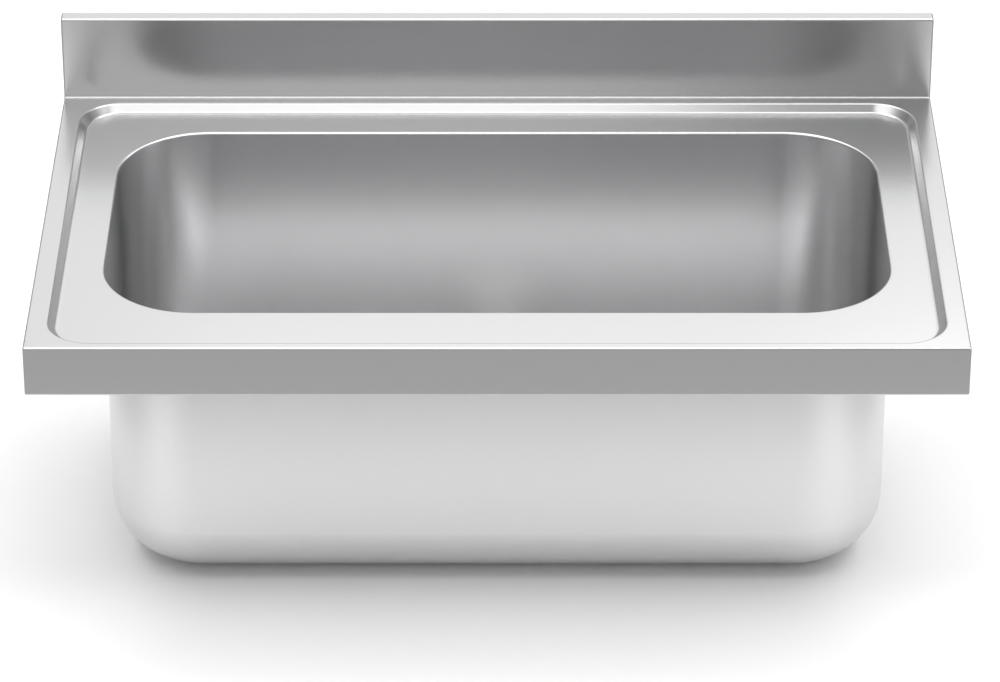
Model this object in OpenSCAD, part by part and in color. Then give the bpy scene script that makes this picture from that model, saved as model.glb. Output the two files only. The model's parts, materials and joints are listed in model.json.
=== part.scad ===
// Stainless steel cabinet sink top: a folded sheet worktop with a pressed recess and an upstand,
// one deep bowl, the stiffening under it, and a basket strainer waste.
// Origin: plan centre of the seat, the underside of the return flanges that rest on the cabinet.
// +Z is up, -Y is the front and +Y is the wall.

/* [Worktop] */
// Overall width, left to right
width = 1000; // [985:5:1200]
// Overall depth, front face to wall
depth = 600; // [585:5:700]
// Height of the rim above the cabinet seat
apron_h = 58; // [50:1:80]
// Thickness of the worktop sheet
sheet = 1.2; // [1:0.1:1.5]
// Outside radius of the folded edges
edge_r = 2.4; // [2:0.1:4]
// Width of the return flange under the front and the sides
flange_w = 25; // [18:1:30]

/* [Upstand] */
// Height of the upstand above the rim
upstand_h = 100; // [60:5:150]
// Thickness of the upstand, front face to wall
upstand_t = 20; // [15:1:30]
// Radius in the fold between the rim and the upstand
fold_r = 2; // [1.5:0.1:4]
// Height of the lip folded down behind the upstand
lip_h = 18; // [12:1:30]
// Distance from the top of the upstand to the top of the rear panel
panel_top = 5; // [4:1:10]

/* [Pressed recess] */
// Flat rim at each side
rim_side = 20; // [16:1:24]
// Flat rim at the front
rim_front = 10; // [8:1:18]
// Flat rim in front of the upstand
rim_back = 13; // [9:1:18]
// Drop from the rim to the recessed surface
recess_drop = 10; // [8:0.5:14]
// Plan radius of the recess corners
recess_r = 50; // [35:1:70]
// Angle of the pressed step from level
step_angle = 50; // [40:1:60]
// Radius at the top of the step
step_top_r = 3.5; // [2.5:0.1:4.5]
// Radius at the foot of the step
step_foot_r = 6; // [4:0.1:7]

/* [Bowl] */
// Distance from each side to the bowl's mouth
mouth_side = 70; // [65:1:150]
// Distance from the front face to the bowl's mouth
mouth_front = 93; // [88:1:97]
// Distance from the upstand to the bowl's mouth
mouth_back = 67; // [62:1:120]
// Depth of the bowl below the recessed surface
bowl_h = 350; // [200:10:400]
// Plan radius of the bowl's corners
bowl_r = 101; // [85:1:130]
// Radius between the bowl's walls and floor
floor_r = 69; // [40:1:75]
// Radius of the bend at the mouth
mouth_r = 3; // [2.5:0.1:6]
// Thickness of the bowl sheet
bowl_sheet = 1.2; // [1:0.1:1.5]
// Width of the bowl's flange, from the mouth to the ground weld
weld_w = 12; // [8:1:13]

/* [Stiffening and fixing] */
// Thickness of the stiffeners
stiff_t = 1.5; // [1:0.1:2]
// Depth of the stiffeners below the sheet
stiff_h = 22; // [15:1:30]
// Width of the front stiffener's hat
hat_w = 28; // [20:1:32]
// Width of each flange of the front stiffener
hat_flange = 10; // [7:1:11]
// Length that each stiffener stops short of the mouth's width or depth, at each end
stiff_short = 20; // [5:1:60]
// Leg length of the corner brackets
bracket_leg = 100; // [90:1:120]
// Thickness of the corner brackets
bracket_t = 3; // [2:0.5:5]
// Cut at the two tips of a corner bracket
bracket_tip = 12; // [6:1:20]
// Distance of the fixing holes from the front face, the sides and the wall
hole_in = 40; // [36:1:42]
// Diameter of the fixing holes
hole_d = 9; // [6:0.5:11]

/* [Bonding point] */
// Diameter of the bonding screw's thread
bond_d = 6; // [5:1:8]
// Length of the bonding screw below its head
bond_len = 22; // [20:1:30]
// Width of the bonding tab
bond_w = 22; // [18:1:30]
// Distance of the screw inside the flange's edge
bond_in = 15; // [12:1:20]
// Distance from the rear corner bracket to the bonding tab
bond_off = 33; // [5:1:150]
// Width of the screw's head and of the nut, across their flats
hex_w = 10; // [8:0.5:12]
// Diameter of the washers
washer_d = 12; // [11:0.5:14]

/* [Sound pads] */
// Length of each sound deadening pad, left to right
pad_w = 220; // [100:10:250]
// Width of each pad, front to back
pad_d = 200; // [100:10:240]
// Thickness of the pads
pad_t = 2.5; // [1:0.5:4]
// Radius of the pads' corners
pad_r = 8; // [2:1:20]
// Distance from the waste's centre to the near edge of a pad
pad_off = 85; // [75:1:100]

/* [Waste] */
// Diameter of the hole in the bowl's floor
drain_d = 90; // [88:0.5:91]
// Depth of the pressed seat in the bowl's floor
seat_h = 5; // [4:0.5:8]
// Flat diameter of the pressed seat
seat_d = 114; // [113:1:122]
// Outside diameter of the strainer dish's flange
dish_d = 112; // [110:0.5:112.5]
// Inside diameter of the strainer dish at the top
dish_top = 80; // [78:0.5:82]
// Inside diameter of the strainer dish at the bottom
dish_foot = 70; // [69:0.5:72]
// Depth of the strainer dish
dish_h = 32; // [30:1:45]
// Thickness of the strainer dish
dish_t = 1; // [0.8:0.1:1.2]
// Thickness of the gasket on the seat
gasket_t = 1.5; // [1:0.5:2]
// Thickness of the gasket under the bowl
under_t = 2; // [1:0.5:4]
// Inside diameter of the waste body
body_d = 87; // [86:0.5:87.5]
// Wall of the waste body
body_t = 3; // [2:0.5:4]
// Outside diameter of the outlet thread
outlet_d = 47.8; // [46:0.1:50]
// Length of the outlet thread
outlet_h = 22; // [18:1:35]
// Wall of the outlet
outlet_t = 4.4; // [3:0.1:5]
// Diameter of the centre screw
screw_d = 6; // [5:1:8]
// Diameter of the centre screw's head
screw_head_d = 11; // [10:0.5:12]
// Number of drain holes in the strainer dish
dish_holes = 8; // [5:1:8]
// Diameter of each drain hole
dish_hole_d = 8; // [5:0.5:8]

/* [Basket] */
// Diameter of the basket's floor
basket_foot = 60; // [56:1:61]
// Outside diameter of the basket at its rim
basket_top = 74; // [70:1:75]
// Thickness of the basket's sheet
basket_t = 0.8; // [0.6:0.1:1]
// Number of slots in the basket's wall
slots = 24; // [12:1:28]
// Width of each slot
slot_w = 3; // [1.5:0.5:4]
// Height of the slots' lower ends above the basket's floor
slot_foot = 6.5; // [4:0.5:9]
// Distance from the basket's rim down to the slots' upper ends
slot_top = 5.5; // [3:0.5:9]
// Thickness of the stopper seal
seal_t = 3; // [3:0.5:5]
// Outside diameter of the stopper seal
seal_d = 65; // [64:0.5:66]
// Diameter of the stem
stem_d = 6; // [4:0.5:8]
// Diameter of the knob
knob_d = 20; // [14:1:30]
// Height of the knob
knob_h = 8; // [6:1:9]
// Radius of the groove round the knob
knob_groove = 5; // [3:0.5:6]

/* [Hidden] */
$fn = 64;

// Running clearance between pieces that move against each other, and round loose screws
clear = 0.3;
// Clearance of a screw in its threaded hole
thread_clear = 0.05;
// Length that a cut runs past the solid it cuts
over = 5;
// Distance that a hidden edge stays behind the one that covers it
edge_step = 1;

steel = [0.78, 0.79, 0.80];
dull_steel = [0.66, 0.67, 0.68];
zinc = [0.74, 0.74, 0.70];
rubber_black = [0.10, 0.10, 0.11];
plastic_white = [0.90, 0.90, 0.88];
pad_grey = [0.25, 0.26, 0.28];

// Outside faces and levels
x_side = width / 2;
y_front = -depth / 2;
y_wall = depth / 2;
y_fold = y_wall - upstand_t;
y_cap = y_fold + sheet;
z_rim = apron_h;
z_top = apron_h + upstand_h;
z_deck = apron_h - recess_drop;
z_under = z_deck - sheet;

// The step's level run between its two tangent lines, from its drop, angle and radii
step_radii = step_top_r + step_foot_r;
step_slope = (recess_drop - step_radii * (1 - cos(step_angle))) / sin(step_angle);
step_run = step_radii * sin(step_angle) + step_slope * cos(step_angle);

// The recess, at the top of its step and at the foot
rx = x_side - rim_side;
ry0 = y_front + rim_front;
ry1 = y_fold - rim_back;
pan_x = rx - step_run;
pan_y0 = ry0 + step_run;
pan_y1 = ry1 - step_run;
pan_r = recess_r - step_run;

// The bowl: its mouth, its inside walls, its ground weld and its floor
mouth_w = width - 2 * mouth_side;
mouth_d = depth - upstand_t - mouth_front - mouth_back;
bx = mouth_w / 2 - mouth_r;
by0 = y_front + mouth_front + mouth_r;
by1 = y_fold - mouth_back - mouth_r;
y_bowl = (by0 + by1) / 2;
weld_in = mouth_r + weld_w;
weld_x = bx + weld_in;
weld_y0 = by0 - weld_in;
weld_y1 = by1 + weld_in;
weld_r = bowl_r + weld_in;
z_floor = z_deck - bowl_h;
z_bend = z_floor + floor_r;
z_base = z_floor - bowl_sheet;

// The pressed seat of the waste
z_seat = z_floor - seat_h;
seat_r = seat_d / 2;
seat_out = seat_r + seat_h;
z_seat_under = z_seat - bowl_sheet;

// The strainer dish
z_dish_under = z_seat + gasket_t;
z_dish_top = z_dish_under + dish_t;
z_dish_floor = z_dish_top - dish_h;
gasket_in = drain_d / 2 + edge_step;
gasket_out = dish_d / 2 - 2 * edge_step;

// The waste body, its web and its outlet
z_body_top = z_seat_under - under_t;
body_r = body_d / 2;
body_flange_r = dish_d / 2 + edge_step;
body_flange_t = 4;
z_web_top = z_dish_floor - dish_t - clear;
web_h = 9;
rib_h = 5.4;
rib_t = 3;
boss_r = 7;
z_web = z_web_top - web_h;
cone_h = 8;
z_cone = z_web - cone_h;
outlet_r = outlet_d / 2;
z_outlet = z_cone - body_t - outlet_h;
screw_r = screw_d / 2;
screw_head_r = screw_head_d / 2;
screw_head_h = 2.4;
screw_slot = 1.2;

// The basket stands a running clearance above the dish's floor, on its seal
z_seal = z_dish_floor + clear;
z_basket = z_seal + seal_t;
z_basket_top = z_dish_top - 2 * edge_step;
basket_wall_h = z_basket_top - z_basket;
basket_rim = 1.4;
stem_foot_r = 6;
stem_foot_h = 1.5;
z_knob = z_floor - knob_h - edge_step;
seal_in = 22;
seal_lip = 2.6;
drain_pitch = 15;

// The stiffeners
hat_y = (pan_y0 + weld_y0) / 2;
angle_w = pan_x - weld_x - edge_step;
angle_rear_w = pan_y1 - weld_y1 - edge_step;

// The brackets and the bonding point
bracket_gap = edge_r + clear;
z_bracket = sheet;
bond_x = x_side - flange_w - bond_in;
bond_y = y_wall - bracket_gap - bracket_leg - bond_off - bond_w / 2;
bond_t = 2;
bond_head_h = 4;
hex_d = hex_w / cos(30);
nut_h = 5;
washer_t = 1.2;

// Shape helpers

// A rounded rectangle between two corners
module rounded(x0, x1, y0, y1, r) {
    translate([x0 + r, y0]) square([x1 - x0 - 2 * r, y1 - y0]);
    translate([x0, y0 + r]) square([x1 - x0, y1 - y0 - 2 * r]);
    for (x = [x0 + r, x1 - r], y = [y0 + r, y1 - r])
        translate([x, y]) circle(r);
}

// Extrudes a section drawn in Y and Z along X, about the middle
module along_x(length) {
    translate([-length / 2, 0, 0]) rotate([90, 0, 90]) linear_extrude(length) children();
}

// Extrudes a section drawn in X and Z along Y, between two places
module along_y(y0, y1) {
    translate([0, y1, 0]) rotate([90, 0, 0]) linear_extrude(y1 - y0) children();
}

// Carries a section round a rounded rectangle: the section's X is the way inwards from the line
module around(x0, x1, y0, y1, r) {
    run_x = x1 - x0 - 2 * r;
    run_y = y1 - y0 - 2 * r;
    translate([x0 + r, y0, 0]) rotate([90, 0, 90]) linear_extrude(run_x) children();
    translate([x1 - r, y1, 0]) rotate([90, 0, -90]) linear_extrude(run_x) children();
    translate([x0, y1 - r, 0]) rotate([90, 0, 0]) linear_extrude(run_y) children();
    translate([x1, y0 + r, 0]) rotate([90, 0, 180]) linear_extrude(run_y) children();
    for (c = [[x0 + r, y0 + r, 180], [x1 - r, y0 + r, 270], [x1 - r, y1 - r, 0], [x0 + r, y1 - r, 90]])
        translate([c[0], c[1], 0]) rotate([0, 0, c[2]])
            rotate_extrude(angle = 90) translate([r, 0]) mirror([1, 0]) children();
}

// A quarter ring between two radii, in the quadrant given by the signs
module quarter(r_in, r_out, sx, sy) {
    intersection() {
        difference() {
            circle(r_out);
            circle(r_in);
        }
        translate([sx > 0 ? 0 : -r_out, sy > 0 ? 0 : -r_out]) square(r_out);
    }
}

// The inside corner that a radius leaves: a square less a circle, from the corner towards the signs
module corner_fill(r, sx, sy) {
    difference() {
        translate([sx > 0 ? 0 : -r, sy > 0 ? 0 : -r]) square(r);
        translate([sx * r, sy * r]) circle(r);
    }
}

// Deck

// Front-to-back section of the worktop block, cut in from its faces by one sheet thickness or none
module block_section(cut, y_end) {
    r = edge_r - cut;
    y0 = y_front + cut;
    translate([y0 + r, cut]) square([y_end - y0 - r, z_rim - 2 * cut]);
    translate([y0, cut + r]) square([y_end - y0, z_rim - 2 * cut - 2 * r]);
    for (z = [cut + r, z_rim - cut - r])
        translate([y0 + r, z]) circle(r);
}

// Side-to-side section of the same block
module side_section(cut) {
    rounded(-x_side + cut, x_side - cut, cut, z_rim - cut, edge_r - cut);
}

// Section of the upstand block above the worktop
module upstand_section(cut) {
    r = edge_r - cut;
    y0 = y_fold + cut;
    y1 = y_wall - sheet - cut;
    z0 = z_rim - sheet;
    z1 = z_top - cut;
    translate([y0, z0]) square([y1 - y0, z1 - r - z0]);
    translate([y0 + r, z0]) square([y1 - y0 - 2 * r, z1 - z0]);
    for (y = [y0 + r, y1 - r])
        translate([y, z1 - r]) circle(r);
}

// The pressed step: everything under the sheet's top face, or under its bottom face
module step_under(cut) {
    r1 = step_top_r - cut;
    r2 = step_foot_r + cut;
    c1 = [0, z_rim - step_top_r];
    c2 = [step_run, z_deck + step_foot_r];
    p1 = c1 + r1 * [sin(step_angle), cos(step_angle)];
    p2 = c2 - r2 * [sin(step_angle), cos(step_angle)];
    difference() {
        union() {
            polygon([[0, z_under - over], [0, z_rim - cut], p1, p2, [step_run, z_deck - cut],
                [step_run, z_under - over]]);
            intersection() {
                translate(c1) circle(r1);
                translate([0, z_rim - 2 * step_top_r]) square([step_top_r, 2 * step_top_r]);
            }
        }
        translate(c2) circle(r2);
    }
}

module step_section() {
    difference() {
        step_under(0);
        step_under(sheet);
    }
}

module deck() {
    color(steel) {
        difference() {
            union() {
                intersection() {
                    along_x(width) block_section(0, y_cap);
                    along_y(y_front, y_cap) side_section(0);
                }
                along_x(width) upstand_section(0);
                along_x(width) translate([y_fold, z_rim]) corner_fill(fold_r, -1, 1);
            }
            intersection() {
                along_x(width) block_section(sheet, y_cap + over);
                along_y(y_front, y_cap + over) side_section(sheet);
            }
            along_x(width + over) upstand_section(sheet);
            along_x(width - 2 * sheet) translate([y_cap, z_rim - sheet]) corner_fill(fold_r + sheet, -1, -1);
            translate([0, 0, -over]) linear_extrude(over + 2 * sheet) polygon([
                [-x_side + flange_w, y_front + flange_w], [x_side - flange_w, y_front + flange_w],
                [x_side - flange_w, y_cap + over], [-x_side + flange_w, y_cap + over]]);
            translate([-x_side - over, y_wall - sheet - edge_r, z_rim - 2 * sheet])
                cube([width + 2 * over, edge_r + over, upstand_h + 2 * sheet - lip_h]);
            translate([0, 0, z_under]) linear_extrude(recess_drop + over) rounded(-rx, rx, ry0, ry1, recess_r);
        }
        around(-rx, rx, ry0, ry1, recess_r) step_section();
        translate([0, 0, z_under]) linear_extrude(sheet) difference() {
            rounded(-pan_x, pan_x, pan_y0, pan_y1, pan_r);
            rounded(-weld_x, weld_x, weld_y0, weld_y1, weld_r);
        }
    }
}

// Bowl

// Wall section from the flange's edge to the floor: X is the way inwards from the wall's inside face
module bowl_section() {
    translate([-weld_in, z_deck - bowl_sheet]) square([weld_w, bowl_sheet]);
    translate([-mouth_r, z_deck - mouth_r]) quarter(mouth_r - bowl_sheet, mouth_r, 1, 1);
    translate([-bowl_sheet, z_bend]) square([bowl_sheet, z_deck - mouth_r - z_bend]);
    translate([floor_r, z_bend]) quarter(floor_r, floor_r + bowl_sheet, -1, -1);
}

module bowl() {
    color(steel) {
        around(-bx, bx, by0, by1, bowl_r) bowl_section();
        difference() {
            translate([0, 0, z_base]) linear_extrude(bowl_sheet)
                rounded(-bx + floor_r, bx - floor_r, by0 + floor_r, by1 - floor_r, bowl_r - floor_r);
            translate([0, y_bowl, z_base - over]) cylinder(r = seat_out, h = bowl_sheet + 2 * over);
        }
        translate([0, y_bowl, 0]) rotate_extrude() polygon([
            [drain_d / 2, z_seat_under], [seat_r + bowl_sheet, z_seat_under], [seat_out, z_base],
            [seat_out, z_floor], [seat_out - bowl_sheet / 2, z_floor], [seat_r, z_seat],
            [drain_d / 2, z_seat]]);
    }
}

// Rear

module rear_panel() {
    h = z_top - panel_top;
    color(steel) along_x(width) difference() {
        union() {
            translate([y_wall - edge_r, edge_r]) circle(edge_r);
            translate([y_wall - edge_r, edge_r]) square([edge_r, h - edge_r]);
            translate([y_cap, 0]) square([y_wall - edge_r - y_cap, edge_r]);
        }
        translate([y_wall - edge_r, edge_r]) circle(edge_r - sheet);
        translate([y_wall - edge_r - over, edge_r]) square([edge_r + over - sheet, h]);
        translate([y_cap - over, sheet]) square([y_wall - edge_r - y_cap + over, h]);
    }
}

module end_cap(x0) {
    y_foot = y_wall - edge_r;
    color(steel) translate([x0, 0, 0]) rotate([90, 0, 90]) linear_extrude(sheet) {
        translate([y_cap, edge_r]) square([y_wall - sheet - y_cap, z_top - lip_h - edge_r]);
        translate([y_cap, sheet]) square([y_foot - y_cap, edge_r - sheet]);
        translate([y_foot, edge_r]) circle(edge_r - sheet);
        intersection() {
            upstand_section(sheet);
            translate([y_cap, z_rim]) square([upstand_t, upstand_h]);
        }
    }
}

module end_cap_left() {
    end_cap(-x_side);
}

module end_cap_right() {
    end_cap(x_side - sheet);
}

// Stiffeners, welded under the recessed sheet

module stiffener_front() {
    half = hat_w / 2;
    color(dull_steel) along_x(mouth_w - 2 * stiff_short) translate([hat_y, z_under]) {
        for (s = [-1, 1]) {
            translate([s * (half + hat_flange / 2) - hat_flange / 2, -stiff_t]) square([hat_flange, stiff_t]);
            translate([s * (half - stiff_t / 2) - stiff_t / 2, -stiff_h]) square([stiff_t, stiff_h]);
        }
        translate([-half, -stiff_h]) square([hat_w, stiff_t]);
    }
}

module stiffener_rear() {
    color(dull_steel) along_x(mouth_w - 2 * stiff_short) translate([weld_y1, z_under]) {
        translate([0, -stiff_t]) square([angle_rear_w, stiff_t]);
        translate([0, -stiff_h]) square([stiff_t, stiff_h]);
    }
}

// One side angle, at the right; the left one mirrors it
module side_angle() {
    color(dull_steel) along_y(y_bowl - mouth_d / 2 + stiff_short, y_bowl + mouth_d / 2 - stiff_short)
        translate([weld_x, z_under]) {
            translate([0, -stiff_t]) square([angle_w, stiff_t]);
            translate([0, -stiff_h]) square([stiff_t, stiff_h]);
        }
}

module stiffener_right() {
    side_angle();
}

module stiffener_left() {
    mirror([1, 0, 0]) side_angle();
}

// Corner brackets, on top of the return flanges; sx and sy give the corner
module corner_bracket(sx, sy) {
    tip = bracket_tip;
    leg = bracket_leg;
    color(dull_steel) translate([0, 0, z_bracket]) difference() {
        translate([sx * (x_side - bracket_gap), sy * (y_wall - bracket_gap), 0])
            linear_extrude(bracket_t) polygon([[0, 0], [-sx * leg, 0], [-sx * leg, -sy * tip],
                [-sx * tip, -sy * leg], [0, -sy * leg]]);
        translate([sx * (x_side - hole_in), sy * (y_wall - hole_in), -over])
            cylinder(d = hole_d, h = bracket_t + 2 * over);
    }
}

module corner_bracket_front_left() {
    corner_bracket(-1, -1);
}

module corner_bracket_front_right() {
    corner_bracket(1, -1);
}

module corner_bracket_rear_left() {
    corner_bracket(-1, 1);
}

module corner_bracket_rear_right() {
    corner_bracket(1, 1);
}

// Bonding point, on the right return flange

module bonding_tab() {
    x_out = x_side - bracket_gap;
    x_in = bond_x - bond_w / 2;
    color(dull_steel) translate([0, bond_y, z_bracket]) difference() {
        translate([x_in, -bond_w / 2, 0]) cube([x_out - x_in, bond_w, bond_t]);
        translate([bond_x, 0, -over]) cylinder(d = bond_d + 2 * clear, h = bond_t + 2 * over);
    }
}

module bonding_screw() {
    color(zinc) translate([bond_x, bond_y, z_bracket + bond_t + washer_t]) {
        cylinder(d = hex_d, h = bond_head_h, $fn = 6);
        translate([0, 0, -bond_len]) cylinder(d = bond_d, h = bond_len);
    }
}

// One washer above the tab and one below it
module bonding_washers() {
    color(zinc) for (z = [z_bracket + bond_t, z_bracket - washer_t])
        translate([bond_x, bond_y, z]) difference() {
            cylinder(d = washer_d, h = washer_t);
            translate([0, 0, -over]) cylinder(d = bond_d + 2 * clear, h = washer_t + 2 * over);
        }
}

module bonding_nut() {
    color(zinc) translate([bond_x, bond_y, z_bracket - washer_t - nut_h]) difference() {
        cylinder(d = hex_d, h = nut_h, $fn = 6);
        translate([0, 0, -over]) cylinder(d = bond_d + 2 * thread_clear, h = nut_h + 2 * over);
    }
}

// Sound deadening pads, stuck under the bowl's floor

module sound_pad(x0) {
    color(pad_grey) translate([0, 0, z_base - pad_t]) linear_extrude(pad_t)
        rounded(x0, x0 + pad_w, y_bowl - pad_d / 2, y_bowl + pad_d / 2, pad_r);
}

module sound_pad_left() {
    sound_pad(-pad_off - pad_w);
}

module sound_pad_right() {
    sound_pad(pad_off);
}

// Waste

module rim_gasket() {
    color(rubber_black) translate([0, y_bowl, z_seat]) difference() {
        cylinder(r = gasket_out, h = gasket_t);
        translate([0, 0, -over]) cylinder(r = gasket_in, h = gasket_t + 2 * over);
    }
}

module strainer_dish() {
    color(steel) translate([0, y_bowl, 0]) difference() {
        rotate_extrude() polygon([
            [0, z_dish_floor], [dish_foot / 2, z_dish_floor], [dish_top / 2, z_dish_top],
            [dish_d / 2, z_dish_top], [dish_d / 2, z_dish_under], [dish_top / 2 + dish_t, z_dish_under],
            [dish_foot / 2 + dish_t, z_dish_floor - dish_t], [0, z_dish_floor - dish_t]]);
        translate([0, 0, z_dish_floor - over]) cylinder(d = screw_d + 2 * clear, h = 2 * over);
        for (i = [0 : dish_holes - 1])
            rotate([0, 0, 360 / dish_holes * i]) translate([drain_pitch, 0, z_dish_floor - over])
                cylinder(d = dish_hole_d, h = 2 * over);
    }
}

module under_gasket() {
    color(rubber_black) translate([0, y_bowl, z_body_top]) difference() {
        cylinder(r = gasket_out, h = under_t);
        translate([0, 0, -over]) cylinder(r = gasket_in, h = under_t + 2 * over);
    }
}

module waste_body() {
    z_flange = z_body_top - body_flange_t;
    z_out_top = z_cone - body_t;
    color(plastic_white) translate([0, y_bowl, 0]) {
        rotate_extrude() polygon([
            [body_r, z_body_top], [body_flange_r, z_body_top], [body_flange_r, z_flange],
            [body_r + body_t, z_flange], [body_r + body_t, z_web - body_t / 2],
            [outlet_r, z_out_top], [outlet_r, z_outlet], [outlet_r - outlet_t, z_outlet],
            [outlet_r - outlet_t, z_cone], [body_r, z_web]]);
        difference() {
            union() {
                translate([0, 0, z_web]) cylinder(r = boss_r, h = web_h);
                for (i = [0 : 2])
                    rotate([0, 0, 90 + 120 * i]) translate([0, -rib_t / 2, z_web])
                        cube([body_r + body_t / 2, rib_t, rib_h]);
            }
            translate([0, 0, z_web - over]) cylinder(d = screw_d + 2 * thread_clear, h = web_h + 2 * over);
        }
    }
}

module centre_screw() {
    shank_h = dish_t + clear + web_h;
    color(steel) translate([0, y_bowl, z_dish_floor]) difference() {
        union() {
            cylinder(r = screw_head_r, h = screw_head_h);
            translate([0, 0, -shank_h]) cylinder(r = screw_r, h = shank_h);
        }
        translate([-screw_head_r - over, -screw_slot / 2, screw_head_h / 2])
            cube([2 * (screw_head_r + over), screw_slot, screw_head_h]);
    }
}

// Basket, with its stem, knob and stopper seal, lifts straight out

module basket() {
    r0 = basket_foot / 2;
    r1 = basket_top / 2;
    color(steel) translate([0, y_bowl, z_basket]) difference() {
        rotate_extrude() {
            polygon([[0, 0], [r0, 0], [r1, basket_wall_h], [r1 - basket_t, basket_wall_h],
                [r0 - basket_t, basket_t], [0, basket_t]]);
            translate([r1, basket_wall_h - basket_rim]) circle(basket_rim);
        }
        for (i = [0 : slots - 1])
            rotate([0, 0, 360 / slots * i]) translate([r0 - 2 * over, -slot_w / 2, slot_foot])
                cube([4 * over, slot_w, basket_wall_h - slot_foot - slot_top]);
    }
}

module basket_stem() {
    z0 = z_basket + basket_t;
    color(steel) translate([0, y_bowl, z0]) {
        cylinder(d = stem_d, h = z_knob - z0);
        cylinder(r = stem_foot_r, h = stem_foot_h);
    }
}

module basket_knob() {
    r = knob_d / 2;
    color(rubber_black) translate([0, y_bowl, z_knob]) rotate_extrude() difference() {
        square([r, knob_h]);
        translate([r, 0]) circle(knob_groove);
    }
}

module stopper_seal() {
    r0 = basket_foot / 2;
    slope = (basket_top - basket_foot) / 2 / basket_wall_h;
    color(rubber_black) translate([0, y_bowl, z_seal]) rotate_extrude() polygon([
        [seal_in, 0], [seal_d / 2, 0], [seal_d / 2, seal_t + seal_lip],
        [r0 + slope * seal_lip, seal_t + seal_lip], [r0, seal_t], [seal_in, seal_t]]);
}

deck();
bowl();
rear_panel();
end_cap_left();
end_cap_right();
stiffener_front();
stiffener_rear();
stiffener_left();
stiffener_right();
corner_bracket_front_left();
corner_bracket_front_right();
corner_bracket_rear_left();
corner_bracket_rear_right();
bonding_tab();
bonding_screw();
bonding_nut();
bonding_washers();
sound_pad_left();
sound_pad_right();
rim_gasket();
strainer_dish();
under_gasket();
waste_body();
centre_screw();
basket();
basket_stem();
basket_knob();
stopper_seal();
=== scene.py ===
import bpy
import json
import math
import numpy as np
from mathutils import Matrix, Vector


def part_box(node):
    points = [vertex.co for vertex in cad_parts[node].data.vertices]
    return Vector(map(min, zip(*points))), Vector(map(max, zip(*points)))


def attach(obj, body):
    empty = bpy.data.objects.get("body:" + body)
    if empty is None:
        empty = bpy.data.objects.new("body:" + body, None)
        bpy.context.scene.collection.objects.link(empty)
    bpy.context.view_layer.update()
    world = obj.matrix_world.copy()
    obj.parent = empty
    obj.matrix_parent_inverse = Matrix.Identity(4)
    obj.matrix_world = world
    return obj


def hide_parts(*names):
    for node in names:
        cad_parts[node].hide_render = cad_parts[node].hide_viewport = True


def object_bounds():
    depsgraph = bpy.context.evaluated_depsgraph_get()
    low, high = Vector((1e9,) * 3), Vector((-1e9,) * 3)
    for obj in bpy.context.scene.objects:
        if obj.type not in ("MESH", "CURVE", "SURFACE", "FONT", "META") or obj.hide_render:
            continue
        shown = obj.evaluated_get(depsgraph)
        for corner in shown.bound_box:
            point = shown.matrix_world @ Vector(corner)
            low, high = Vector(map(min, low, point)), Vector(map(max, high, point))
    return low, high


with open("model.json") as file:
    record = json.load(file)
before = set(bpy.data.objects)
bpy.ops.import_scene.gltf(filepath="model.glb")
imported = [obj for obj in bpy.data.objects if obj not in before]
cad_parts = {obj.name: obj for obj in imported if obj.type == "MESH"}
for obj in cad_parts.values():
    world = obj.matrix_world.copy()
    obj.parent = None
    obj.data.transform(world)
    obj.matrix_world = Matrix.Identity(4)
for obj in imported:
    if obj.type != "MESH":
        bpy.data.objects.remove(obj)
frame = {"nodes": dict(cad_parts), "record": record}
cadLow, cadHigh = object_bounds()
mm = 0.001
upward = np.array([0, 0, 1.0])
print("frame loaded:", len(frame["nodes"]), "nodes")


# Mesh helpers

def gridQuads(rows, columns, closed=False, flip=False):
    # quads between neighbours of a rows x columns grid; closed joins the last column to the first
    i, j = np.meshgrid(np.arange(rows - 1), np.arange(columns if closed else columns - 1), indexing="ij")
    k = (j + 1) % columns
    quads = np.stack([i * columns + j, i * columns + k, (i + 1) * columns + k, (i + 1) * columns + j], -1)
    quads = quads.reshape(-1, 4)
    return quads[:, ::-1] if flip else quads


def weldPatches(patches, reach=1e-7):
    # patches are (points, normals, quads); points closer than the reach, in metres, become one, and each
    # corner of a face keeps its own patch's normal, so that a crease between two patches stays sharp
    points = np.concatenate([p.reshape(-1, 3) for p, n, q in patches])
    normals = np.concatenate([n.reshape(-1, 3) for p, n, q in patches])
    starts = np.cumsum([0] + [p.reshape(-1, 3).shape[0] for p, n, q in patches])
    quads = np.concatenate([q + s for (p, n, q), s in zip(patches, starts)])
    places = np.round(points / reach).astype(np.int64)
    first, back = np.unique(places, axis=0, return_index=True, return_inverse=True)[1:]
    return points[first], normals[first], back.reshape(-1)[quads], normals[quads]


def tidyFaces(quads, tilts):
    # a quad with two equal neighbouring corners becomes a triangle, and one with less is dropped
    same = quads == np.roll(quads, -1, axis=1)
    count = same.sum(1)
    sound = (count == 0) & (quads[:, 0] != quads[:, 2]) & (quads[:, 1] != quads[:, 3])
    keep = ~same[count == 1]
    triangles, bent = quads[count == 1][keep].reshape(-1, 3), tilts[count == 1][keep].reshape(-1, 3, 3)
    proper = (triangles != np.roll(triangles, -1, axis=1)).all(1)
    return [(quads[sound], tilts[sound]), (triangles[proper], bent[proper])]


def openEdges(kinds):
    # directed edges that only one face uses
    edges = np.concatenate([np.stack([f, np.roll(f, -1, axis=1)], -1).reshape(-1, 2)
                            for f in kinds if len(f)])
    size = edges.max() + 1
    code, twin = edges[:, 0] * size + edges[:, 1], edges[:, 1] * size + edges[:, 0]
    return edges[~np.isin(code, twin)]


def faceNormals(points, faces):
    corner = points[faces]
    n = np.cross(corner[:, 2] - corner[:, 0], corner[:, -1] - corner[:, 1])
    return n / np.maximum(np.linalg.norm(n, axis=1, keepdims=True), 1e-20)


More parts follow.
